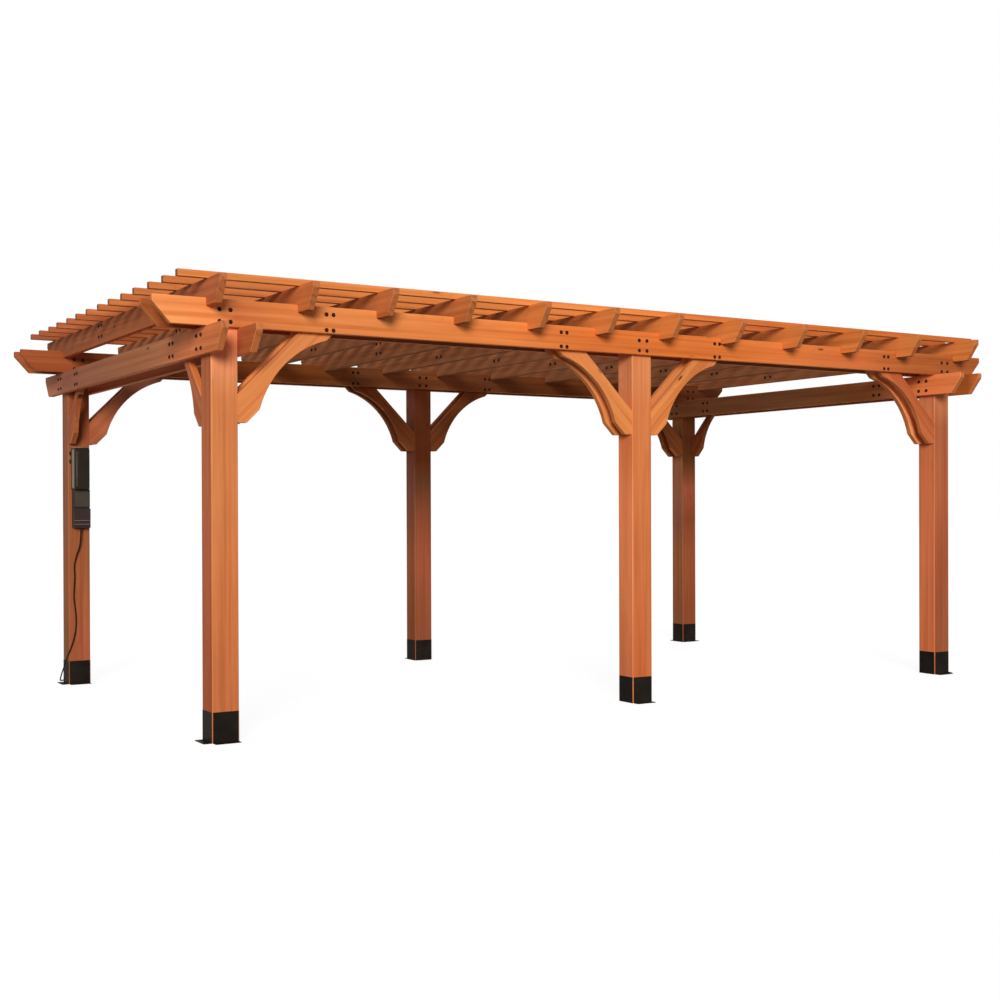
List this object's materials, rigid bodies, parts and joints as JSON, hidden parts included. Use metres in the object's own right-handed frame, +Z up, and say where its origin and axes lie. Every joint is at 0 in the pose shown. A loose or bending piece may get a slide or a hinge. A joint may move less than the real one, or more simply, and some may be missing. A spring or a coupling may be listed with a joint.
{
  "type": "wooden pergola",
  "caption": "Open timber pergola on square posts with doubled beams, notched rafters, top battens, curved knee braces and steel post feet.",
  "frame": {"origin": "on the ground, midway along and across the structure", "axes": "+Z up, +X along the long beams to the right, -Y to the front"},
  "size_m": [6.079, 3.561, 2.395],
  "materials": {
    "post_cedar": "satin",
    "beam_cedar": "satin",
    "brace_cedar": "satin",
    "rafter_cedar": "satin",
    "purlin_cedar": "satin",
    "black_steel": "matte",
    "box_plastic": "matte",
    "cover_plastic": "satin",
    "lead_rubber": "matte"
  },
  "bodies": {
    "root": {"post_front_left": "post_cedar", "base_front_left": "black_steel", "post_front_middle": "post_cedar", "base_front_middle": "black_steel", "post_front_right": "post_cedar", "base_front_right": "black_steel", "post_rear_left": "post_cedar", "base_rear_left": "black_steel", "post_rear_middle": "post_cedar", "base_rear_middle": "black_steel", "post_rear_right": "post_cedar", "base_rear_right": "black_steel", "long_beam_front": "beam_cedar", "long_brace_front_left": "brace_cedar", "long_brace_front_middle": "brace_cedar", "long_brace_front_right": "brace_cedar", "long_beam_rear": "beam_cedar", "long_brace_rear_left": "brace_cedar", "long_brace_rear_middle": "brace_cedar", "long_brace_rear_right": "brace_cedar", "end_beam_left": "beam_cedar", "end_braces_left": "brace_cedar", "end_beam_right": "beam_cedar", "end_braces_right": "brace_cedar", "rafter_01": "rafter_cedar", "rafter_02": "rafter_cedar", "rafter_03": "rafter_cedar", "rafter_04": "rafter_cedar", "rafter_05": "rafter_cedar", "rafter_06": "rafter_cedar", "rafter_07": "rafter_cedar", "rafter_08": "rafter_cedar", "rafter_09": "rafter_cedar", "rafter_10": "rafter_cedar", "rafter_11": "rafter_cedar", "rafter_12": "rafter_cedar", "purlins_front": "purlin_cedar", "purlins_rear": "purlin_cedar", "power_box": "box_plastic", "power_box_cover": "cover_plastic", "lead_gland": "box_plastic", "lead": "lead_rubber", "lead_coil": "lead_rubber", "lead_plug": "lead_rubber"}
  },
  "joints": []
}
